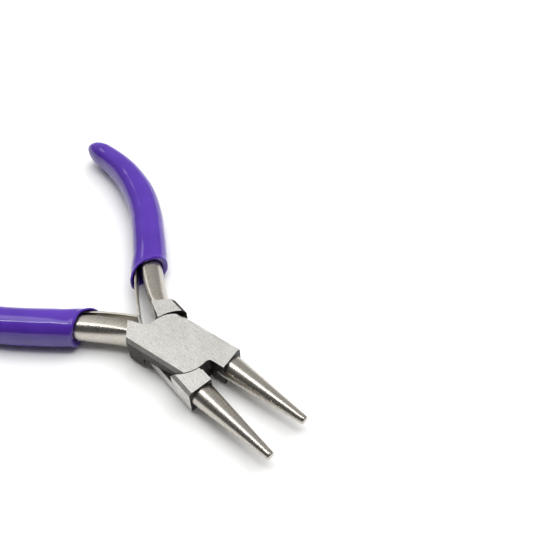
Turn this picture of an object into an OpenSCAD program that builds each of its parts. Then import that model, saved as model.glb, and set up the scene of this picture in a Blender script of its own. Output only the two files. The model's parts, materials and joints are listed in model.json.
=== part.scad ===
// Round nose pliers for jewellery making: two lap-jointed steel halves with cone jaws,
// a flush rivet, a pair of leaf return springs and dipped vinyl grips.
// Each half is described lying closed: rivet axis at the origin, jaws towards +X,
// mid-plane of the joint at z = 0. The two halves share one plan, with half B turned over,
// and both have their outer edges bevelled on the side that ends up on top.

/* [Joint] */
// Thickness of the joint between its ground faces
joint_t = 8.2; // [7.6:0.1:9]
// Width of the joint across its sides
joint_w = 14.1; // [13.8:0.1:14.4]
// Bevel along the outer edges of the upper ground face
side_bevel = 0.85; // [0.5:0.05:1]
// Radius of the lap disc about the rivet
disc_r = 9.1; // [8.9:0.05:9.3]
// Gap between the two lap faces
lap_gap = 0.1; // [0.05:0.01:0.2]
// Gap between a lap disc and the shoulder around it
shoulder_gap = 0.25; // [0.2:0.05:0.35]
// Radius of the rivet shank
rivet_r = 2; // [1.6:0.1:2.4]
// Radius of the rivet's countersunk heads
rivet_head_r = 2.9; // [2.6:0.1:3.2]
// Radial running gap between rivet and turning half
rivet_gap = 0.05; // [0.02:0.01:0.08]
// Angle of each half from the closed position, at rest
rest_angle = 7.6; // [4:0.1:10]

/* [Jaws] */
// Distance from the rivet axis to the front of the jaw blocks
block_x = 13.7; // [13:0.1:15]
// Distance between the closed jaw blocks
block_gap = 0.6; // [0.5:0.1:0.8]
// Length of each cone jaw
cone_l = 23.2; // [16:0.2:30]
// Diameter of a cone jaw at its base
cone_base_d = 6.4; // [5.4:0.1:6.6]
// Diameter of a cone jaw at its tip
cone_tip_d = 2.2; // [1.2:0.1:2.4]
// Distance between the closed cone jaws
jaw_gap = 0.2; // [0.1:0.05:0.4]

/* [Handles] */
// Width of the bare handle neck
neck_w = 5.6; // [5.4:0.1:5.8]
// Thickness of the bare handle neck
neck_t = 7.6; // [7.2:0.1:7.8]
// Length of the curved neck from the joint
neck_l = 15; // [14:0.5:16]
// Length of the straight stretch behind the neck
straight_l = 15; // [13:0.5:18]
// Length of the bow in the palm
bow_l = 35; // [32:0.1:40]
// How far the bow turns back inwards, in degrees
bow_turn = 43.5; // [38:0.5:50]

/* [Grips] */
// Width of a grip at its widest
grip_w = 9.4; // [9.2:0.1:10]
// Thickness of a grip
grip_t = 10.6; // [10.4:0.1:11.4]
// Distance along the handle from the joint to the grip's mouth
mouth_s = 13.4; // [13:0.1:14]

/* [Springs] */
// Thickness of the spring strip
spring_t = 0.6; // [0.5:0.05:0.7]
// Height of the spring strip
spring_h = 5; // [4:0.1:5.4]
// Distance from the rivet axis to the spring tips
spring_reach = 14.4; // [14:0.1:14.8]
// Distance of the meeting tips from the middle, towards half A
spring_shift = 0.7; // [0.4:0.1:0.8]
// Bow of a spring strip, in degrees each side of its chord
spring_bow = 8.9; // [8:0.1:9.5]
// Distance between the two spring tips
spring_tip_gap = 0.2; // [0.15:0.05:0.4]

/* [Hidden] */
$fn = 96;

steel = "#b9b6b0";
spring_steel = "#cfc9bd";
vinyl = "#5f37b4";

// Fillets of the forging, between the lap disc and the blocks on each side of it
shoulder_round = 6.5;
handle_fillet = 2;
jaw_fillet = 1.2;
// Round edges run this far past tangency, so that every pair of surfaces crosses cleanly
bite = 0.02;
// Ends of the line where the flat handle block turns into the round neck
bend_in = [-14.8, -2.1];
bend_out = [-11.2, -joint_w / 2];
// Slope of the crotch edge of the handle block, and its distance from the rivet axis
crotch_slope = 16;
crotch_d = 2.07;
// Shoulder corners kept short of the other half's fillets
handle_corner_y = -0.5;
jaw_corner_y = 0.6;
countersink = 1.1;
tip_round = 0.3;
cut = 1;

// Handle centreline: where it leaves the block, and its heading below -X along its length
neck_root = [-13.3, -4.15];
neck_heading = 17;
tang_heading = 31;
handle_l = neck_l + straight_l + bow_l;
bends = [
    [0, neck_heading],
    [neck_l, tang_heading],
    [neck_l + straight_l, tang_heading],
    [handle_l, tang_heading - bow_turn]
];
step = 0.5;
section_sides = 36;

// Steel bar under the grip stops short of the grip's closed end
tang_l = handle_l - 5.3;
tang_w = 4.6;
bar_in = [
    [-3.5, 1.5], [-1.5, 2.1], [0, 2.6], [3, neck_w / 2], [neck_l - 4, neck_w / 2],
    [neck_l + 3, tang_w / 2], [40, tang_w / 2], [tang_l, tang_w / 2 - 0.5]
];
bar_out = [
    [-3.5, 1.2], [0, neck_w / 2 - 0.8], [3, neck_w / 2 - 0.45], [8, neck_w / 2],
    [neck_l - 2, neck_w / 2 + 0.1], [neck_l + 3, tang_w / 2], [40, tang_w / 2], [tang_l, tang_w / 2 - 0.5]
];
bar_t = [[0, joint_t - 0.1], [5, neck_t], [neck_l - 1, neck_t - 0.3], [neck_l + 5, 6.2], [tang_l, 5]];
// Roundness of a section: 2 is elliptical, higher is squarer
round_side = 2;
flat_side = 6;
grip_side = 2.3;

// Grip: half widths towards the other handle and away from it, and its thickness
grip_end = handle_l + 4;
grip_cap = handle_l - 3;
grip_in = [
    [9, 5.9], [13, 5.5], [18, grip_w / 2 + 0.1], [24, grip_w / 2 - 0.1], [42, grip_w / 2 - 0.2],
    [52, 4], [60, 3.4], [grip_end, 3.1]
];
grip_out = [
    [9, 4], [13, 4.2], [18, grip_w / 2 - 0.1], [24, grip_w / 2], [42, grip_w / 2 - 0.15],
    [52, 3.9], [60, 3.3], [grip_end, 3]
];
// The lip over the spring stands further out on half B, whose spring does too
lip_shift = [[9, 0.4], [neck_l + 4, 0]];
grip_thick = [
    [9, grip_t - 1.5], [14, grip_t - 0.8], [19, grip_t], [50, grip_t],
    [60, grip_t - 1.8], [grip_end, grip_t - 2.8]
];
cavity_gap = 0.02;
lip_round = 0.35;

// Leaf spring: riveted to the tang at one end, free at the other
spring_rivet_s = neck_l + 4;
spring_rivet_l = 3.15;
spring_rivet_r = 0.9;
spring_hole_r = 1.05;
spring_head_r = 1.6;
spring_head_t = 0.5;
spring_head_gap = 0.25;
spring_rivet_depth = 3.2;
spring_tail = -0.06;
spring_steps = 20;
spring_press_angle = 8;
spring_tip_angle = 31;
pocket_gap = 0.15;

function turn(p, a) = [p.x * cos(a) - p.y * sin(a), p.x * sin(a) + p.y * cos(a)];
function dir(a) = [cos(a), sin(a)];
function flatten(lists) = [for (l = lists) each l];

// Handle centreline, found by walking along its headings
function heading(s) = lookup(s, bends);
function ahead(a) = [-cos(a), -sin(a)];
path = [
    for (s = 0, p = neck_root; s <= handle_l + 6; p = p + step * ahead(heading(s + step / 2)), s = s + step)
        p
];
function path_at(s) = s <= 0 ? neck_root + s * ahead(neck_heading)
    : path[floor(s / step)] + (s % step) * ahead(heading(s));
// Point at distance s along the handle, l towards the other handle and z up
function place(s, l, z) = let (p = path_at(s), a = heading(s)) [p.x - l * sin(a), p.y + l * cos(a), z];

// Point at angle a around a section with the given half widths and thickness
function bulge(c, power) = sign(c) * pow(abs(c), 2 / power);
function around(s, a, w_in, w_out, t, in_power, out_power) = place(
    s,
    cos(a) > 0 ? w_in * bulge(cos(a), in_power) : w_out * bulge(cos(a), out_power),
    t / 2 * bulge(sin(a), cos(a) > 0 ? in_power : out_power)
);
function bar_point(s, a, gap) = around(
    s, a,
    lookup(s, bar_in) + gap,
    lookup(s, bar_out) + gap,
    lookup(s, bar_t) + 2 * gap,
    flat_side, round_side
);
section_angles = [for (k = [0 : section_sides - 1]) 360 * k / section_sides];

// The mouth of the grip dips forward on the spring's side and backward on the other
function mouth_at(a) = let (c = cos(a)) mouth_s - 1.2 * c - 1.2 * pow(c, 3) - 1.5 * pow(c, 2);
function cap_scale(s) = s <= grip_cap ? 1 : sqrt(1 - pow((s - grip_cap) / (grip_end - grip_cap), 2));
function grip_point(u, a, inset, side) =
    let (s = mouth_at(a) + u * (grip_end - mouth_at(a)), k = cap_scale(s))
    around(
        s, a,
        k * (lookup(s, grip_in) - side * lookup(s, lip_shift) - inset),
        k * (lookup(s, grip_out) - inset),
        k * (lookup(s, grip_thick) - 2 * inset),
        grip_side, grip_side
    );
function cavity_point(u, a) = bar_point(mouth_at(a) + u * (tang_l + 0.1 - mouth_at(a)), a, cavity_gap);

// Spring centreline: an arc from its rivet to its tip, in the half's own frame.
// side is 1 for half A and -1 for half B.
spring_root = let (p = place(spring_rivet_s, spring_rivet_l, 0)) [p.x, p.y];
function spring_chord(side) = turn([
    -spring_reach,
    -side * spring_shift - spring_tip_gap / 2 - spring_t / 2 * cos(spring_tip_angle)
], -rest_angle) - spring_root;
function spring_slope(side) = atan2(spring_chord(side).y, spring_chord(side).x);
function spring_edge(u, offset, side) =
    spring_root + norm(spring_chord(side)) * sin(spring_bow * u) / sin(spring_bow)
    * dir(spring_slope(side) + spring_bow * (1 - u))
    + offset * dir(spring_slope(side) + spring_bow * (1 - 2 * u) + 90);
spring_fractions = [for (i = [0 : spring_steps]) spring_tail + (1 - spring_tail) * i / spring_steps];

// The whole object stands on its grips, centred on its outline
mid_z = grip_t / 2;
grip_tail = [0.9 : 0.005 : 0.995];
grip_outline = [for (u = grip_tail, a = section_angles) turn(grip_point(u, a, 0, 1), rest_angle)];
cone_axis_in = cone_base_d / 2 + jaw_gap / 2;
cone_tilt = asin((cone_base_d - cone_tip_d) / 2 / cone_l);
jaw_end = turn([block_x + cone_l * cos(cone_tilt), cone_tip_d / 2 + jaw_gap / 2], rest_angle);
rear_x = min([for (p = grip_outline) p.x]);
front_x = jaw_end.x + (cone_tip_d / 2 - tip_round) * sin(rest_angle - cone_tilt);
pivot_x = -(rear_x + front_x) / 2;

// Closed solid through a list of rings that all have the same number of points
module skin(rings) {
    n = len(rings[0]);
    last = len(rings) - 1;
    centres = [for (ring = [rings[0], rings[last]]) [for (p = ring) 1] * ring / n];
    points = concat(flatten(rings), centres);
    sides = [
        for (i = [0 : last - 1], j = [0 : n - 1])
            let (a = i * n + j, b = i * n + (j + 1) % n)
            each [[a, b, b + n], [a, b + n, a + n]]
    ];
    first_cap = [for (j = [0 : n - 1]) [(j + 1) % n, j, n * (last + 1)]];
    last_cap = [for (j = [0 : n - 1]) [last * n + j, last * n + (j + 1) % n, n * (last + 1) + 1]];
    polyhedron(points = points, faces = concat(sides, first_cap, last_cap));
}

// ---- one half, lying closed with its lap above the mid-plane ----

// Concave fillet centres: about a fillet radius from both the disc and the block's edge
crotch_in = dir(90 + crotch_slope);
crotch_along = dir(crotch_slope);
handle_fillet_d = crotch_d + handle_fillet - bite;
handle_fillet_c = handle_fillet_d * crotch_in
    - sqrt(pow(disc_r + handle_fillet - bite, 2) - pow(handle_fillet_d, 2)) * crotch_along;
jaw_fillet_y = block_gap / 2 - jaw_fillet + bite;
jaw_fillet_c = [sqrt(pow(disc_r + jaw_fillet - bite, 2) - pow(jaw_fillet_y, 2)), jaw_fillet_y];
shoulder_y = joint_w / 2 - shoulder_round + bite;
shoulder_c = [-sqrt(pow(disc_r - shoulder_round + bite, 2) - pow(shoulder_y, 2)), shoulder_y];

module lap_outline() {
    difference() {
        union() {
            intersection() {
                circle(r = disc_r);
                square([2 * disc_r, joint_w], center = true);
            }
            polygon([
                bend_in,
                handle_fillet_c - (handle_fillet - bite) * crotch_in,
                handle_fillet_c,
                [0, 0],
                [0, -joint_w / 2],
                bend_out
            ]);
            polygon([
                [0, 0],
                jaw_fillet_c,
                [jaw_fillet_c.x, block_gap / 2],
                [block_x, block_gap / 2],
                [block_x, joint_w / 2],
                [0, joint_w / 2]
            ]);
        }
        translate(handle_fillet_c) circle(r = handle_fillet);
        translate(jaw_fillet_c) circle(r = jaw_fillet);
        // Rounded corner where the disc meets the straight side
        difference() {
            polygon([
                shoulder_c,
                [shoulder_c.x, joint_w / 2 + cut],
                [-disc_r - cut, joint_w / 2 + cut],
                shoulder_c * (disc_r + cut) / (disc_r - shoulder_round)
            ]);
            translate(shoulder_c) circle(r = shoulder_round);
        }
    }
}

module handle_bar() {
    visible = [for (s = [-3.5 : 1 : neck_l - 0.5]) s];
    covered = [for (s = [neck_l + 0.5 : 5 : tang_l - 2]) s];
    skin([for (s = concat(visible, covered, [tang_l])) [for (a = section_angles) bar_point(s, a, 0)]]);
}

module cone_jaw() {
    r_base = cone_base_d / 2;
    r_tip = cone_tip_d / 2;
    embed = 2;
    translate([block_x, cone_axis_in, 0]) rotate([0, 90, -cone_tilt]) rotate_extrude() polygon([
        [0, -embed],
        [r_base, -embed],
        [r_base, 0],
        [r_tip + tip_round * tan(cone_tilt), cone_l - tip_round],
        [r_tip - tip_round * 0.3, cone_l - tip_round * 0.3],
        [r_tip - tip_round, cone_l],
        [0, cone_l]
    ]);
}

// Bevelled outer edges of the upper ground face, along the straight sides
module face_bevels(side) {
    for (y = [-1, 1] * joint_w / 2)
        translate([0, y, side * joint_t / 2]) rotate([45, 0, 0])
            cube([4 * disc_r, side_bevel * sqrt(2), side_bevel * sqrt(2)], center = true);
}

// Shape of the rivet, or of its bore when gap is the clearance around it
module rivet_shape(gap) {
    end_z = joint_t / 2 + gap;
    rotate_extrude() polygon([
        [0, -end_z],
        [rivet_head_r + gap, -end_z],
        [rivet_r + gap, countersink - end_z],
        [rivet_r + gap, end_z - countersink],
        [rivet_head_r + gap, end_z],
        [0, end_z]
    ]);
}

module half(bore_gap, side) {
    lap_h = joint_t / 2 + cut + lap_gap / 2;
    color(steel) difference() {
        union() {
            difference() {
                translate([0, 0, -joint_t / 2]) linear_extrude(joint_t) lap_outline();
                face_bevels(side);
            }
            handle_bar();
            cone_jaw();
        }
        // Room for the other half's lap, below the mid-plane
        translate([0, 0, -joint_t / 2 - cut]) {
            cylinder(r = disc_r + shoulder_gap, h = lap_h);
            translate([-disc_r - 1, handle_corner_y, 0]) cube([disc_r, disc_r, lap_h]);
            translate([1, jaw_corner_y - disc_r, 0]) cube([disc_r, disc_r, lap_h]);
        }
        rivet_shape(bore_gap);
        spring_rivet_place(side)
            translate([0, 0, -spring_rivet_depth]) cylinder(r = spring_rivet_r, h = joint_t);
    }
}

// ---- leaf spring, its rivet and the grip, in the half's own frame ----

// Rivet axis of the spring, with z towards the other handle and 0 at the strip's middle
module spring_rivet_place(side) {
    translate([spring_root.x, spring_root.y, 0])
        rotate([0, 0, spring_slope(side) + spring_bow + 90]) rotate([0, 90, 0]) children();
}

module leaf_spring(side) {
    color(spring_steel) difference() {
        translate([0, 0, -spring_h / 2]) linear_extrude(spring_h) polygon(concat(
            [for (u = spring_fractions) spring_edge(u, spring_t / 2, side)],
            [for (i = [spring_steps : -1 : 0]) spring_edge(spring_fractions[i], -spring_t / 2, side)]
        ));
        spring_rivet_place(side) cylinder(r = spring_hole_r, h = 4, center = true);
    }
}

module spring_rivet(side) {
    head = spring_t / 2 + spring_head_gap;
    color(steel) spring_rivet_place(side) {
        translate([0, 0, -spring_rivet_depth]) cylinder(r = spring_rivet_r, h = spring_rivet_depth + head);
        translate([0, 0, head]) cylinder(r = spring_head_r, h = spring_head_t);
    }
}

// Room inside the grip for the strip and for its travel towards the handle
module spring_pocket(side) {
    along = [0.08 : 0.09 : 0.62];
    face = spring_t / 2 + pocket_gap;
    tail_end = spring_edge(spring_tail - 0.02, face, side);
    tail = spring_root + turn(tail_end - spring_root, -spring_press_angle);
    outer = [for (u = along) spring_edge(u, face, side)];
    pocket_h = spring_h + 2 * pocket_gap;
    translate([0, 0, -pocket_h / 2]) linear_extrude(pocket_h) polygon(concat(
        [tail], outer, [path_at(6), path_at(spring_rivet_s), path_at(spring_rivet_s + 2.4)]
    ));
}

module grip(side) {
    cavity = [1, 0.88, 0.75, 0.6, 0.45, 0.3, 0.18, 0.1, 0.04, 0];
    body = [
        0.025, 0.06, 0.11, 0.18, 0.26, 0.35, 0.45, 0.55, 0.64, 0.72, 0.8, 0.87,
        0.92, 0.945, 0.965, 0.985, 0.995
    ];
    head_h = spring_t / 2 + spring_head_gap + spring_head_t + pocket_gap;
    color(vinyl) difference() {
        skin(concat(
            [for (u = cavity) [for (a = section_angles) cavity_point(u, a)]],
            [[for (a = section_angles) grip_point(0, a, lip_round, side)]],
            [[for (a = section_angles) grip_point(0.006, a, lip_round / 3, side)]],
            [for (u = body) [for (a = section_angles) grip_point(u, a, 0, side)]]
        ));
        spring_pocket(side);
        spring_rivet_place(side) cylinder(r = spring_head_r + pocket_gap, h = head_h);
    }
}

// ---- placing the two sides at rest ----

module side_a() {
    translate([pivot_x, 0, mid_z]) rotate([0, 0, rest_angle]) children();
}

module side_b() {
    translate([pivot_x, 0, mid_z]) rotate([0, 0, -rest_angle]) rotate([180, 0, 0]) children();
}

module half_a() { side_a() half(0, 1); }
module half_b() { side_b() half(rivet_gap, -1); }
module pivot_rivet() { color(steel) side_a() rivet_shape(0); }
module leaf_spring_a() { side_a() leaf_spring(1); }
module leaf_spring_b() { side_b() leaf_spring(-1); }
module spring_rivet_a() { side_a() spring_rivet(1); }
module spring_rivet_b() { side_b() spring_rivet(-1); }
module grip_a() { side_a() grip(1); }
module grip_b() { side_b() grip(-1); }

half_a();
half_b();
pivot_rivet();
leaf_spring_a();
leaf_spring_b();
spring_rivet_a();
spring_rivet_b();
grip_a();
grip_b();
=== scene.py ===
import json
import math

import bmesh
import bpy
from mathutils import Matrix, Vector, noise

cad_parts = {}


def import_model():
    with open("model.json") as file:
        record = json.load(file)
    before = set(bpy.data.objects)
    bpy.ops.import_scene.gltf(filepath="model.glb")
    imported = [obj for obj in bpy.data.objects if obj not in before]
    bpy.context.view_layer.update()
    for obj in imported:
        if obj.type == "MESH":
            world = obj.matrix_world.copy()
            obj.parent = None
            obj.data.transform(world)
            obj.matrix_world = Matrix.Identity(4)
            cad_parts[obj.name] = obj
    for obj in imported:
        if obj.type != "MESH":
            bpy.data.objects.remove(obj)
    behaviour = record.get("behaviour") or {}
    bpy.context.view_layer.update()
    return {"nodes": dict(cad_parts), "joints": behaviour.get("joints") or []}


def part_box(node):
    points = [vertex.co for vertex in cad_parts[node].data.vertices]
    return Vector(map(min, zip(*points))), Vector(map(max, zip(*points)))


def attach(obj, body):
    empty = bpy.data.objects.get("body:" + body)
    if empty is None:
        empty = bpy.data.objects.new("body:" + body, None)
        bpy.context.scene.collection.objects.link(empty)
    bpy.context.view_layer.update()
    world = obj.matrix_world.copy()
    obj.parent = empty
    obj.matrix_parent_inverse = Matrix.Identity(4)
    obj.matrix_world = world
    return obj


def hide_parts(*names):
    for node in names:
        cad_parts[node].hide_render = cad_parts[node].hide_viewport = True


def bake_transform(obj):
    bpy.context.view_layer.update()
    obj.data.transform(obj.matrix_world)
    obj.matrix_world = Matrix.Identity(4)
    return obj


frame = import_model()

# ---- sizes, in millimetres, in each half's own frame: it lies closed, with its rivet at the
# ---- origin, its jaw towards +X and its lap above the mid-plane

MM = 0.001
JOINT = {j["name"]: j for j in frame["joints"]}
PIVOT = Vector(JOINT["pivot"]["pos_m"])
REST = math.radians(JOINT["pivot"]["range_deg"][1] / 2)

JOINT_T = (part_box("half_a")[1].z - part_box("half_a")[0].z) / MM
HALF_W = 7.05
DISC_R = 9.1
LAP_GAP = 0.1
SHOULDER_GAP = 0.25
SIDE_BEVEL = 0.85
SHOULDER_ROUND = 6.5
HANDLE_FILLET = 2
JAW_FILLET = 1.2
CROTCH_SLOPE = math.radians(16)
CROTCH_D = 2.07
BLOCK_X = 13.7
BLOCK_GAP = 0.6
BEND_IN = (-14.8, -2.1)
BEND_OUT = (-11.2, -HALF_W)
RELIEF_CORNERS = ((-10.1, -0.5), (1.0, -8.5))
RIVET_R = 2
RIVET_GAP = 0.05
RIVET_HEAD_R = 2.9
COUNTERSINK = 1.1
EDGE_BREAK = 0.09
PLATE_REACH = 30

CONE_L = 23.2
CONE_BASE_R = 3.2
CONE_TIP_R = 1.1
CONE_TIP_ROUND = 0.3
CONE_SUNK = 2
JAW_GAP = 0.2

NECK_ROOT = (-13.3, -4.15)
NECK_L = 15
HANDLE_L = 65
HEADINGS = ((0, 17), (NECK_L, 31), (30, 31), (HANDLE_L, -12.5))
TANG_L = HANDLE_L - 5.3
BAR_IN = ((-3.5, 1.5), (-1.5, 2.1), (0, 2.6), (3, 2.8), (11, 2.8), (18, 2.3), (40, 2.3),
          (TANG_L, 1.8))
BAR_OUT = ((-3.5, 1.2), (0, 2.0), (3, 2.35), (8, 2.8), (13, 2.9), (18, 2.3), (40, 2.3),
           (TANG_L, 1.8))
BAR_T = ((0, 8.1), (5, 7.6), (14, 7.3), (20, 6.2), (TANG_L, 5))
ROUND_SIDE = 2
FLAT_SIDE = 6

MOUTH_S = 13.4
GRIP_END = HANDLE_L + 4
GRIP_CAP = HANDLE_L - 3
GRIP_IN = ((9, 5.9), (13, 5.5), (18, 4.8), (24, 4.6), (42, 4.5), (52, 4.0), (60, 3.4), (GRIP_END, 3.1))
GRIP_OUT = ((9, 4.0), (13, 4.2), (18, 4.6), (24, 4.7), (42, 4.55), (52, 3.9), (60, 3.3), (GRIP_END, 3.0))
GRIP_T = ((9, 9.1), (14, 9.8), (19, 10.6), (50, 10.6), (60, 8.8), (GRIP_END, 7.8))
LIP_SHIFT = ((9, 0.4), (19, 0))
GRIP_SIDE = 2.3
LIP_R = 0.42
DIP_WAVES = (0.05, 0.02)
MOUTH_DEPTH = 7.0
BEAD = 0.16
BEAD_L = 0.55

SPRING_T = 0.6
SPRING_H = 5
SPRING_BOW = math.radians(8.9)
SPRING_REACH = 14.4
SPRING_SHIFT = 0.7
SPRING_TIP_GAP = 0.2
SPRING_TIP_ANGLE = math.radians(31)
SPRING_TAIL = -0.06
SPRING_EDGE_R = 0.14
SPRING_END_TAPER = (0.8, 0.97)

# The camera: its place from the pivot, where it looks, its roll, and its lens in millimetres
EYE = Vector((90.79, -62.71, 173.3)) * MM
VIEW = Vector((-0.4217, 0.4426, -0.7914))
ROLL = math.radians(-1.855)
LENS = 54.383
SENSOR = 36


# ---- the handle's own coordinates ----

def lookup(s, table):
    """Value at s of a curve through the table's points, without overshoot."""
    if s <= table[0][0]:
        return table[0][1]
    for (s0, v0), (s1, v1) in zip(table, table[1:]):
        if s <= s1:
            t = (s - s0) / (s1 - s0)
            return v0 + (v1 - v0) * t
    return table[-1][1]


def soft_lookup(s, table, reach=1.6):
    """The same, with its corners rounded off."""
    taps = 9
    total = 0.0
    for k in range(taps):
        total += lookup(s + reach * (2 * k / (taps - 1) - 1), table)
    return total / taps


def heading(s):
    return math.radians(lookup(s, HEADINGS))


STEP = 0.25
PATH = [Vector(NECK_ROOT)]
while len(PATH) * STEP <= HANDLE_L + 6:
    a = heading((len(PATH) - 0.5) * STEP)
    PATH.append(PATH[-1] - STEP * Vector((math.cos(a), math.sin(a))))


def path_at(s):
    if s <= 0:
        a = heading(0)
        return PATH[0] - s * Vector((math.cos(a), math.sin(a)))
    i = min(int(s / STEP), len(PATH) - 2)
    return PATH[i].lerp(PATH[i + 1], s / STEP - i)


def place(s, l, z):
    """Point at distance s along the handle, l towards the other handle and z up."""
    p, a = path_at(s), heading(s)
    return Vector((p.x - l * math.sin(a), p.y + l * math.cos(a), z))


def bulge(c, power):
    return math.copysign(abs(c) ** (2 / power), c)


def around(s, a, w_in, w_out, t, in_power, out_power):
    c, z = math.cos(a), math.sin(a)
    power = in_power if c > 0 else out_power
    return place(s, (w_in if c > 0 else w_out) * bulge(c, power), t / 2 * bulge(z, power))


def bar_point(s, a, gap=0):
    return around(s, a, soft_lookup(s, BAR_IN) + gap, soft_lookup(s, BAR_OUT) + gap,
                  soft_lookup(s, BAR_T) + 2 * gap, FLAT_SIDE, ROUND_SIDE)


def turned(v, a):
    c, s = math.cos(a), math.sin(a)
    return Vector((v[0] * c - v[1] * s, v[0] * s + v[1] * c))


def direction(a):
    return Vector((math.cos(a), math.sin(a)))


def to_row(side):
    """Matrix from a half's own frame in millimetres to the row frame in metres."""
    flip = Matrix.Identity(4) if side > 0 else Matrix.Diagonal((1, -1, -1, 1))
    return Matrix.Translation(PIVOT) @ Matrix.Rotation(side * REST, 4, "Z") @ flip @ Matrix.Scale(MM, 4)


# ---- mesh helpers ----

def new_object(name, bm, side=0, smooth_angle=32):
    """Object from a bmesh in millimetres; its edges sharper than smooth_angle stay sharp."""
    if side:
        bmesh.ops.transform(bm, matrix=to_row(side), verts=bm.verts)
    bmesh.ops.recalc_face_normals(bm, faces=bm.faces)
    mesh = bpy.data.meshes.new(name)
    for f in bm.faces:
        f.smooth = True
    for e in bm.edges:
        e.smooth = len(e.link_faces) == 2 and e.calc_face_angle(0) < math.radians(smooth_angle)
    bm.to_mesh(mesh)
    bm.free()
    obj = bpy.data.objects.new(name, mesh)
    bpy.context.scene.collection.objects.link(obj)
    return obj


def loft(bm, rings):
    """Closed skin through rings of points, with a face at each end."""
    rows = [[bm.verts.new(p) for p in ring] for ring in rings]
    n = len(rows[0])
    for low, high in zip(rows, rows[1:]):
        for j in range(n):
            k = (j + 1) % n
            bm.faces.new((low[j], low[k], high[k], high[j]))
    bm.faces.new(rows[0][::-1])
    bm.faces.new(rows[-1])


def lathe(bm, profile, axis_matrix, sides=96):
    """Closed solid of revolution about Z from (radius, height) points that start and end on the axis."""
    rings = []
    for r, h in profile[1:-1]:
        rings.append([Vector((r * math.cos(t), r * math.sin(t), h))
                      for t in (2 * math.pi * k / sides for k in range(sides))])
    first = bm.verts.new(axis_matrix @ Vector((0, 0, profile[0][1])))
    last = bm.verts.new(axis_matrix @ Vector((0, 0, profile[-1][1])))
    rows = [[bm.verts.new(axis_matrix @ p) for p in ring] for ring in rings]
    for low, high in zip(rows, rows[1:]):
        for j in range(sides):
            k = (j + 1) % sides
            bm.faces.new((low[j], low[k], high[k], high[j]))
    for j in range(sides):
        k = (j + 1) % sides
        bm.faces.new((first, rows[0][k], rows[0][j]))
        bm.faces.new((last, rows[-1][j], rows[-1][k]))


def prism(bm, outline, z0, z1):
    loft(bm, [[Vector((p[0], p[1], z)) for p in outline] for z in (z0, z1)])


def evaluated(obj):
    """A new mesh with the object's modifiers applied."""
    mesh = bpy.data.meshes.new_from_object(obj.evaluated_get(bpy.context.evaluated_depsgraph_get()))
    bm = bmesh.new()
    bm.from_mesh(mesh)
    bpy.data.meshes.remove(mesh)
    return bm


def discard(obj):
    mesh = obj.data
    bpy.data.objects.remove(obj)
    bpy.data.meshes.remove(mesh)


def cut(obj, tools):
    """Subtracts each tool from obj and returns the result as a bmesh."""
    for tool in tools:
        m = obj.modifiers.new("cut", "BOOLEAN")
        m.operation = "DIFFERENCE"
        m.solver = "EXACT"
        m.object = tool
    bm = evaluated(obj)
    for o in [obj, *tools]:
        discard(o)
    return bm


# ---- the steel halves ----

def arc(centre, radius, a0, a1, steps):
    """Points of an arc, from angle a0 to a1."""
    return [Vector(centre) + radius * direction(a0 + (a1 - a0) * k / steps) for k in range(steps + 1)]


def angle_of(v):
    return math.atan2(v[1], v[0])


def lap_outline():
    """Plan of a half's flat part, counter-clockwise from the front of its jaw block."""
    crotch_in = direction(math.pi / 2 + CROTCH_SLOPE)
    d = CROTCH_D + HANDLE_FILLET
    handle_c = d * crotch_in - math.sqrt((DISC_R + HANDLE_FILLET) ** 2 - d * d) * direction(CROTCH_SLOPE)
    y = BLOCK_GAP / 2 - JAW_FILLET
    jaw_c = Vector((math.sqrt((DISC_R + JAW_FILLET) ** 2 - y * y), y))
    y = HALF_W - SHOULDER_ROUND
    shoulder_c = Vector((-math.sqrt((DISC_R - SHOULDER_ROUND) ** 2 - y * y), y))
    side_a = -math.asin(HALF_W / DISC_R)
    points = [(BLOCK_X, BLOCK_GAP / 2), (BLOCK_X, HALF_W)]
    points += arc(shoulder_c, SHOULDER_ROUND, math.pi / 2, angle_of(shoulder_c), 24)
    points += arc((0, 0), DISC_R, angle_of(shoulder_c), angle_of(handle_c), 4)[1:]
    from_disc = angle_of(-handle_c)
    if from_disc < angle_of(-crotch_in):
        from_disc += 2 * math.pi
    points += arc(handle_c, HANDLE_FILLET, from_disc, angle_of(-crotch_in), 12)[1:]
    points += [BEND_IN, BEND_OUT, (DISC_R * math.cos(side_a), -HALF_W)]
    points += arc((0, 0), DISC_R, side_a, angle_of(jaw_c), 40)[1:]
    points += arc(jaw_c, JAW_FILLET, math.pi + angle_of(jaw_c), math.pi / 2, 10)[1:]
    return [Vector(p) for p in points]


def relief_solids():
    """What the other half's lap needs below the mid-plane."""
    z0, z1 = -JOINT_T, LAP_GAP / 2
    disc = bmesh.new()
    prism(disc, arc((0, 0), DISC_R + SHOULDER_GAP, 0, 2 * math.pi * 191 / 192, 191), z0, z1)
    solids = [new_object("relief_disc", disc)]
    for x, y in RELIEF_CORNERS:
        block = bmesh.new()
        prism(block, [(x, y), (x + DISC_R, y), (x + DISC_R, y + DISC_R), (x, y + DISC_R)], z0, z1)
        solids.append(new_object("relief_corner", block))
    return solids


def face_bevels(side):
    solids = []
    for y in (-HALF_W, HALF_W):
        bm = bmesh.new()
        z = side * JOINT_T / 2
        ends = [[Vector((x, y + SIDE_BEVEL * dy, z + SIDE_BEVEL * dz)) for dy, dz in
                 ((-1, 0), (0, -1), (1, 0), (0, 1))] for x in (-PLATE_REACH, PLATE_REACH)]
        loft(bm, ends)
        solids.append(new_object("face_bevel", bm))
    return solids


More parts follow.
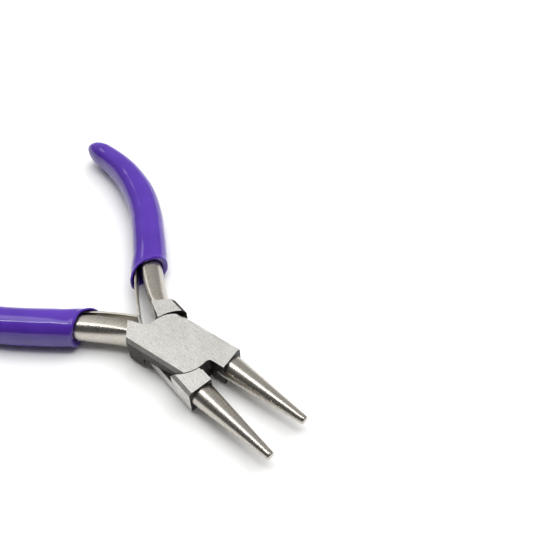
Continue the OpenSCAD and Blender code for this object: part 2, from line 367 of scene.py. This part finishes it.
def rivet_hole(gap):
    """The bore for the pivot rivet, which is tight in half A and turns in half B."""
    bm = bmesh.new()
    h = JOINT_T / 2
    bore, head = RIVET_R + gap, RIVET_HEAD_R + gap
    lathe(bm, [(0, -h - 1), (head, -h - 1), (head, -h), (bore, COUNTERSINK - h),
               (bore, h - COUNTERSINK), (head, h), (head, h + 1), (0, h + 1)], Matrix.Identity(4))
    return new_object("rivet_hole", bm)


# The fourth finish is black: forge scale on the block fronts, the same black on the inner jaw faces and
# crotch, and painted shade on the faces under the lap.
GROUND, SATIN, POLISHED, SCALE_AND_PAINTED_SHADE = range(4)


def plate_finish(face):
    """Which finish a face of the flat part has, by where it is; the faces under the lap, between the two
    halves, get the black as painted shade.
    """
    c, n = face.calc_center_median(), face.normal
    if abs(n.z) > 0.9 and abs(c.z) > JOINT_T / 2 - 0.05:
        return GROUND
    if c.x > BLOCK_X - 0.4 and n.x > 0.7:
        return SCALE_AND_PAINTED_SHADE
    inner_jaw = c.x > 8 and c.y < BLOCK_GAP and abs(n.z) < 0.7
    # Painted shade: the faces under the lap, between the two halves, are made black.
    painted_shade_under_lap = abs(c.z) < 0.2 or (c.z < 0 and c.xy.length < DISC_R + 1.2)
    if inner_jaw or painted_shade_under_lap:
        return SCALE_AND_PAINTED_SHADE
    return SATIN


def plate(side):
    bm = bmesh.new()
    prism(bm, lap_outline(), -JOINT_T / 2, JOINT_T / 2)
    body = new_object("plate", bm)
    bm = cut(body, relief_solids() + face_bevels(side))
    bmesh.ops.remove_doubles(bm, verts=bm.verts, dist=0.002)
    bmesh.ops.dissolve_limit(bm, angle_limit=math.radians(0.4), verts=bm.verts, edges=bm.edges)
    body = new_object("plate", bm)
    m = body.modifiers.new("edge_break", "BEVEL")
    m.width = EDGE_BREAK
    m.segments = 2
    m.limit_method = "ANGLE"
    m.angle_limit = math.radians(34)
    bm = cut(body, [rivet_hole(0 if side > 0 else RIVET_GAP)])
    for f in bm.faces:
        f.material_index = plate_finish(f)
    return bm


def bar(bm):
    sides = 72
    angles = [2 * math.pi * k / sides for k in range(sides)]
    visible = [-3 + 0.3 * k for k in range(64)]
    hidden = [17.5 + 3 * k for k in range(14)]
    loft(bm, [[bar_point(s, a) for a in angles] for s in visible + hidden + [TANG_L]])


def cone(bm):
    tilt = math.asin((CONE_BASE_R - CONE_TIP_R) / CONE_L)
    frame_m = Matrix.Translation((BLOCK_X, CONE_BASE_R + JAW_GAP / 2, 0)) @ \
        Matrix.Rotation(-tilt, 4, "Z") @ Matrix.Rotation(math.pi / 2, 4, "Y")
    profile = [(0, -CONE_SUNK), (CONE_BASE_R, -CONE_SUNK)]
    steps = 30
    for k in range(steps + 1):
        h = (CONE_L - CONE_TIP_ROUND) * k / steps
        profile.append((CONE_BASE_R + (CONE_TIP_R - CONE_BASE_R) * h / CONE_L, h))
    for a in (0.35, 0.8, 1.2, math.pi / 2):
        r = CONE_TIP_R - CONE_TIP_ROUND * (1 - math.cos(a))
        profile.append((r, CONE_L - CONE_TIP_ROUND * (1 - math.sin(a))))
    profile.append((0, CONE_L))
    lathe(bm, profile, frame_m)


def half(name, side):
    bm = plate(side)
    extra = bmesh.new()
    bar(extra)
    cone(extra)
    mesh = bpy.data.meshes.new("extra")
    for f in extra.faces:
        f.material_index = POLISHED
    bmesh.ops.recalc_face_normals(extra, faces=extra.faces)
    extra.to_mesh(mesh)
    extra.free()
    bm.from_mesh(mesh)
    bpy.data.meshes.remove(mesh)
    obj = new_object(name, bm, side)
    m = obj.modifiers.new("flat_faces", "WEIGHTED_NORMAL")
    m.mode = "FACE_AREA"
    m.weight = 90
    m.keep_sharp = True
    return obj


# ---- the springs ----

def spring_root():
    return place(NECK_L + 4, 3.15, 0).xy


def spring_edge(u, offset, side):
    tip = turned((-SPRING_REACH, -side * SPRING_SHIFT - SPRING_TIP_GAP / 2
                  - SPRING_T / 2 * math.cos(SPRING_TIP_ANGLE)), -REST)
    root = spring_root()
    chord = tip - root
    slope = angle_of(chord)
    along = chord.length * math.sin(SPRING_BOW * u) / math.sin(SPRING_BOW)
    return root + along * direction(slope + SPRING_BOW * (1 - u)) \
        + offset * direction(slope + SPRING_BOW * (1 - 2 * u) + math.pi / 2)


def leaf_spring(name, side):
    """A strip with rounded edges, in short lengths that follow its bow."""
    r = SPRING_EDGE_R
    w, h = SPRING_T / 2, SPRING_H / 2
    section = []
    for cx, cz, a0 in ((w - r, h - r, 0), (r - w, h - r, 90), (r - w, r - h, 180), (w - r, r - h, 270)):
        for k in range(5):
            a = math.radians(a0 + 22.5 * k)
            section.append((cx + r * math.cos(a), cz + r * math.sin(a)))
    bm = bmesh.new()
    steps = 60
    rings = []
    for i in range(steps + 1):
        u = SPRING_TAIL + (1 - SPRING_TAIL) * i / steps
        thin, low = SPRING_END_TAPER if i in (0, steps) else (1, 1)
        rings.append([spring_edge(u, o * thin, side).to_3d() + Vector((0, 0, z * low))
                      for o, z in section])
    loft(bm, rings)
    return new_object(name, bm, side)


# ---- the grips ----

def mouth_at(a):
    c = math.cos(a)
    return MOUTH_S - 1.2 * c - 1.2 * c ** 3 - 1.5 * c ** 2


def cap_scale(s):
    return 1 if s <= GRIP_CAP else math.sqrt(max(0, 1 - ((s - GRIP_CAP) / (GRIP_END - GRIP_CAP)) ** 2))


def grip_outer(s, a, side, swell=0):
    k = cap_scale(s)
    w_in = soft_lookup(s, GRIP_IN) - side * soft_lookup(s, LIP_SHIFT) + swell
    w_out = soft_lookup(s, GRIP_OUT) + swell
    t = soft_lookup(s, GRIP_T) + 2 * swell
    power = GRIP_SIDE + 0.5 * max(0, 1 - (s - 9) / 9)
    return around(s, a, k * w_in, k * w_out, k * t, power, GRIP_SIDE)


def grip_inner(s, a, side):
    """The hole in the mouth: round the bar, and out round the strip on the inner side."""
    strip = 5.0 - side * lookup(s, LIP_SHIFT) - 0.14 * max(0, s - 9)
    w_in = max(soft_lookup(s, BAR_IN) + 0.2, strip + SPRING_T / 2 + 0.1)
    gap = 0.22 * max(0, 1 - max(0, s - 14) / 5)
    return around(s, a, w_in, soft_lookup(s, BAR_OUT) + gap,
                  soft_lookup(s, BAR_T) + 2 * gap + 0.1, 3.5, ROUND_SIDE)


def dip_wobble(p):
    """The slight unevenness of a dipped coat, always inwards so that it stays off the floor."""
    broad, fine = DIP_WAVES
    waves = broad * noise.noise(Vector(p) * 0.16) + fine * noise.noise(Vector(p) * 0.5)
    return waves - broad - fine


def grip(name, side):
    sides = 112
    angles = [2 * math.pi * k / sides for k in range(sides)]
    rings = []
    inner_steps = 13
    for k in range(inner_steps, -1, -1):
        depth = LIP_R + MOUTH_DEPTH * k / inner_steps
        rings.append([grip_inner(mouth_at(a) + depth, a, side) for a in angles])
    lip_steps = 10
    for k in range(1, lip_steps):
        t = math.pi * k / lip_steps
        mix = (1 - math.cos(t)) / 2
        ring = []
        for a in angles:
            s = mouth_at(a) + LIP_R * (1 - math.sin(t))
            ring.append(grip_inner(s, a, side).lerp(grip_outer(s, a, side), mix))
        rings.append(ring)
    count = 150
    for k in range(count):
        u = (k / (count - 1)) ** 1.25
        ring = []
        for a in angles:
            start = mouth_at(a) + LIP_R
            s = start + u * (GRIP_END - 0.02 - start)
            swell = BEAD * math.exp(-((s - start - 0.1) / BEAD_L) ** 2)
            p = grip_outer(s, a, side, swell)
            n = p - path_at(s).to_3d()
            ring.append(p + n.normalized() * dip_wobble(p + Vector((0, 0, 50 * side))))
        rings.append(ring)
    bm = bmesh.new()
    loft(bm, rings)
    return new_object(name, bm, side, smooth_angle=60)


# ---- materials ----

class Nodes:
    """Short calls for building a material's node tree."""

    def __init__(self, name):
        self.material = bpy.data.materials.new(name)
        self.material.use_nodes = True
        self.tree = self.material.node_tree
        self.shader = self.tree.nodes["Principled BSDF"]
        self.coords = self.tree.nodes.new("ShaderNodeTexCoord").outputs["Object"]

    def link(self, a, b):
        self.tree.links.new(a, b)
        return b

    def stretched(self, scale, turn=(0, 0, 0)):
        m = self.tree.nodes.new("ShaderNodeMapping")
        m.inputs["Scale"].default_value = scale
        m.inputs["Rotation"].default_value = turn
        self.link(self.coords, m.inputs["Vector"])
        return m.outputs["Vector"]

    def noise(self, vector, scale, detail=2, rough=0.5):
        n = self.tree.nodes.new("ShaderNodeTexNoise")
        n.inputs["Scale"].default_value = scale
        n.inputs["Detail"].default_value = detail
        n.inputs["Roughness"].default_value = rough
        self.link(vector, n.inputs["Vector"])
        return n.outputs["Fac"]

    def ramp(self, value, low, high, out_low, out_high):
        m = self.tree.nodes.new("ShaderNodeMapRange")
        m.inputs["From Min"].default_value = low
        m.inputs["From Max"].default_value = high
        m.inputs["To Min"].default_value = out_low
        m.inputs["To Max"].default_value = out_high
        self.link(value, m.inputs["Value"])
        return m.outputs["Result"]

    def mix(self, fac, a, b):
        m = self.tree.nodes.new("ShaderNodeMix")
        m.data_type = "RGBA"
        self.link(fac, m.inputs["Factor"])
        for socket, v in ((m.inputs[6], a), (m.inputs[7], b)):
            if isinstance(v, tuple):
                socket.default_value = (*v, 1)
            else:
                self.link(v, socket)
        return m.outputs[2]

    def bump(self, height, strength, distance, normal=None):
        b = self.tree.nodes.new("ShaderNodeBump")
        b.inputs["Strength"].default_value = strength
        b.inputs["Distance"].default_value = distance
        self.link(height, b.inputs["Height"])
        if normal is not None:
            self.link(normal, b.inputs["Normal"])
        return b.outputs["Normal"]


def ground_steel():
    """Flat faces: fine belt-ground lines, a mottled grain and a few scratches."""
    n = Nodes("ground_steel")
    lines = n.noise(n.stretched((900, 9000, 900)), 1, 2)
    grain = n.noise(n.coords, 3200, 3, 0.6)
    streaks = n.noise(n.stretched((700, 3600, 700), (0, 0, 0.5)), 1, 3, 0.6)
    patches = n.noise(n.coords, 260, 3)
    scratch = n.noise(n.stretched((350, 6000, 350), (0, 0, 0.9)), 1, 1)
    colour = n.mix(n.ramp(grain, 0.34, 0.66, 0, 1), (0.62, 0.61, 0.58), (0.95, 0.94, 0.91))
    colour = n.mix(n.ramp(streaks, 0.52, 0.74, 0, 0.55), colour, (0.40, 0.385, 0.36))
    colour = n.mix(n.ramp(patches, 0.35, 0.7, 0, 0.25), colour, (0.56, 0.54, 0.50))
    colour = n.mix(n.ramp(scratch, 0.70, 0.78, 0, 0.6), colour, (0.30, 0.28, 0.26))
    n.link(colour, n.shader.inputs["Base Color"])
    n.shader.inputs["Metallic"].default_value = 1
    n.link(n.ramp(grain, 0.3, 0.7, 0.42, 0.54), n.shader.inputs["Roughness"])
    n.link(n.bump(lines, 0.35, 0.00003, n.bump(grain, 0.3, 0.00003)), n.shader.inputs["Normal"])
    return n.material


def satin_steel():
    """Sides of the forging: tumbled, a little darker."""
    n = Nodes("satin_steel")
    grain = n.noise(n.coords, 2600, 3, 0.6)
    patches = n.noise(n.coords, 330, 3)
    colour = n.mix(n.ramp(grain, 0.3, 0.7, 0, 1), (0.60, 0.59, 0.565), (0.86, 0.85, 0.82))
    colour = n.mix(n.ramp(patches, 0.4, 0.7, 0, 0.5), colour, (0.33, 0.31, 0.28))
    n.link(colour, n.shader.inputs["Base Color"])
    n.shader.inputs["Metallic"].default_value = 1
    n.link(n.ramp(patches, 0.3, 0.7, 0.36, 0.5), n.shader.inputs["Roughness"])
    n.link(n.bump(grain, 0.35, 0.00004), n.shader.inputs["Normal"])
    return n.material


def polished_steel():
    """Cones and necks: bright, with faint turning marks and tumbling speckle."""
    n = Nodes("polished_steel")
    speckle = n.noise(n.coords, 2400, 3, 0.65)
    rings = n.noise(n.stretched((5200, 260, 260)), 1, 2)
    pits = n.noise(n.coords, 1500, 1)
    colour = n.mix(n.ramp(speckle, 0.25, 0.75, 0, 1), (0.49, 0.46, 0.41), (0.58, 0.55, 0.50))
    colour = n.mix(n.ramp(pits, 0.72, 0.78, 0, 0.45), colour, (0.14, 0.125, 0.11))
    n.link(colour, n.shader.inputs["Base Color"])
    n.shader.inputs["Metallic"].default_value = 1
    n.link(n.ramp(rings, 0.3, 0.7, 0.25, 0.34), n.shader.inputs["Roughness"])
    n.link(n.bump(rings, 0.16, 0.00002, n.bump(speckle, 0.03, 0.00002)), n.shader.inputs["Normal"])
    return n.material


def scale_and_painted_shade():
    """Black: forge scale on the front of the blocks, the same black on the inner faces of the jaws and
    in the crotch, and painted shade on the faces under the lap, between the two halves.
    """
    n = Nodes("scale_and_painted_shade")
    crust = n.noise(n.coords, 2200, 4, 0.65)
    colour = n.mix(n.ramp(crust, 0.42, 0.72, 0, 1), (0.022, 0.020, 0.018), (0.075, 0.070, 0.065))
    n.link(colour, n.shader.inputs["Base Color"])
    n.shader.inputs["Metallic"].default_value = 0.7
    n.link(n.ramp(crust, 0.3, 0.7, 0.62, 0.42), n.shader.inputs["Roughness"])
    n.link(n.bump(crust, 0.4, 0.00006), n.shader.inputs["Normal"])
    return n.material


def strip_steel():
    n = Nodes("strip_steel")
    lines = n.noise(n.stretched((500, 500, 9000)), 1, 2)
    colour = n.mix(n.ramp(lines, 0.3, 0.7, 0, 1), (0.56, 0.53, 0.47), (0.74, 0.71, 0.65))
    n.link(colour, n.shader.inputs["Base Color"])
    n.shader.inputs["Metallic"].default_value = 1
    n.link(n.ramp(lines, 0.3, 0.7, 0.26, 0.36), n.shader.inputs["Roughness"])
    n.link(n.bump(lines, 0.2, 0.00002), n.shader.inputs["Normal"])
    return n.material


def dipped_vinyl():
    n = Nodes("dipped_vinyl")
    cloud = n.noise(n.coords, 120, 3)
    waves = n.noise(n.coords, 220, 2)
    dust = n.noise(n.coords, 2600, 2)
    colour = n.mix(n.ramp(cloud, 0.3, 0.7, 0, 1), (0.058, 0.018, 0.26), (0.074, 0.025, 0.32))
    n.link(colour, n.shader.inputs["Base Color"])
    n.shader.inputs["Specular IOR Level"].default_value = 0.55
    n.link(n.ramp(dust, 0.35, 0.75, 0.07, 0.13), n.shader.inputs["Roughness"])
    n.shader.inputs["Subsurface Weight"].default_value = 0.08
    n.shader.inputs["Subsurface Radius"].default_value = (0.0012, 0.0006, 0.0025)
    n.shader.inputs["Subsurface Scale"].default_value = 1
    n.link(n.bump(waves, 0.25, 0.0002), n.shader.inputs["Normal"])
    return n.material


def dress(obj, *materials):
    """Gives a new mesh its materials, or a CAD node one in place of its own."""
    if obj.data.materials:
        obj.data.materials.clear()
    for m in materials:
        obj.data.materials.append(m)


# ---- putting the pieces together ----

STEELS = (ground_steel(), satin_steel(), polished_steel(), scale_and_painted_shade())
STRIP = strip_steel()
VINYL = dipped_vinyl()

for letter, side in (("a", 1), ("b", -1)):
    body, leaf = "half_" + letter, "leaf_" + letter
    steel = half("forging_" + letter, side)
    dress(steel, *STEELS)
    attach(steel, body)
    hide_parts(body)

    cover = grip("vinyl_grip_" + letter, side)
    dress(cover, VINYL)
    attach(cover, body)
    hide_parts("grip_" + letter)

    strip = leaf_spring("spring_strip_" + letter, side)
    dress(strip, STRIP)
    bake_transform(strip)
    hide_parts("leaf_spring_" + letter)

    dress(frame["nodes"]["spring_rivet_" + letter], STEELS[SATIN])
dress(frame["nodes"]["pivot_rivet"], STEELS[GROUND])


# ---- floor, light and camera ----

def floor():
    bpy.ops.mesh.primitive_plane_add(size=3, location=(0, 0, 0))
    obj = bpy.context.object
    obj.name = "floor"
    n = Nodes("floor_paper")
    tone = n.noise(n.coords, 40, 2)
    n.link(n.mix(tone, (0.79, 0.79, 0.79), (0.81, 0.81, 0.81)), n.shader.inputs["Base Color"])
    n.shader.inputs["Roughness"].default_value = 0.7
    dress(obj, n.material)


def area_light(name, toward, distance, size, radiance, long_axis=None):
    """A soft box in a direction from the pivot, facing it, with the given radiance."""
    data = bpy.data.lights.new(name, "AREA")
    data.shape = "RECTANGLE"
    data.size, data.size_y = size
    data.energy = radiance * math.pi * size[0] * size[1]
    obj = bpy.data.objects.new(name, data)
    bpy.context.scene.collection.objects.link(obj)
    z = Vector(toward).normalized()
    x = (Vector(long_axis) if long_axis else Vector((0, 0, 1)).cross(z))
    x = (x - x.dot(z) * z).normalized()
    y = z.cross(x)
    turn = Matrix((x, y, z)).transposed().to_4x4()
    obj.matrix_world = Matrix.Translation(PIVOT + z * distance) @ turn
    return obj


def world():
    """Grey room: lighter behind the object, dark behind the camera."""
    w = bpy.data.worlds.new("world")
    bpy.context.scene.world = w
    w.use_nodes = True
    nodes, links = w.node_tree.nodes, w.node_tree.links
    coords = nodes.new("ShaderNodeTexCoord")
    dot = nodes.new("ShaderNodeVectorMath")
    dot.operation = "DOT_PRODUCT"
    dot.inputs[1].default_value = Vector((VIEW.x, VIEW.y, 0.35)).normalized()
    ramp = nodes.new("ShaderNodeMapRange")
    ramp.inputs["From Min"].default_value = 0.0
    ramp.inputs["From Max"].default_value = 0.9
    ramp.inputs["To Min"].default_value = 0.09
    ramp.inputs["To Max"].default_value = 0.52
    links.new(coords.outputs["Generated"], dot.inputs[0])
    links.new(dot.outputs["Value"], ramp.inputs["Value"])
    links.new(ramp.outputs["Result"], nodes["Background"].inputs["Strength"])
    nodes["Background"].inputs["Color"].default_value = (1, 0.98, 0.95, 1)


def camera():
    data = bpy.data.cameras.new("camera")
    data.sensor_width = SENSOR
    data.lens = LENS
    data.clip_start = 0.01
    obj = bpy.data.objects.new("camera", data)
    bpy.context.scene.collection.objects.link(obj)
    aim = VIEW.to_track_quat("-Z", "Y").to_matrix().to_4x4()
    obj.matrix_world = Matrix.Translation(PIVOT + EYE) @ aim @ Matrix.Rotation(ROLL, 4, "Z")
    bpy.context.scene.camera = obj


IMAGE_RIGHT = VIEW.cross(Vector((0, 0, 1)))
floor()
area_light("soft_box", (-0.42, -0.05, 0.90), 0.6, (0.6, 0.2), 2.1, (1, 0, 0))
area_light("strip_light", (-0.04, -0.05, 1), 0.6, (0.6, 0.018), 24, IMAGE_RIGHT)
fill = area_light("floor_fill", (0.05, 0.42, 1), 0.9, (0.9, 0.9), 4.2)
fill.visible_glossy = False
world()
camera()
bpy.context.scene.view_settings.view_transform = "Standard"
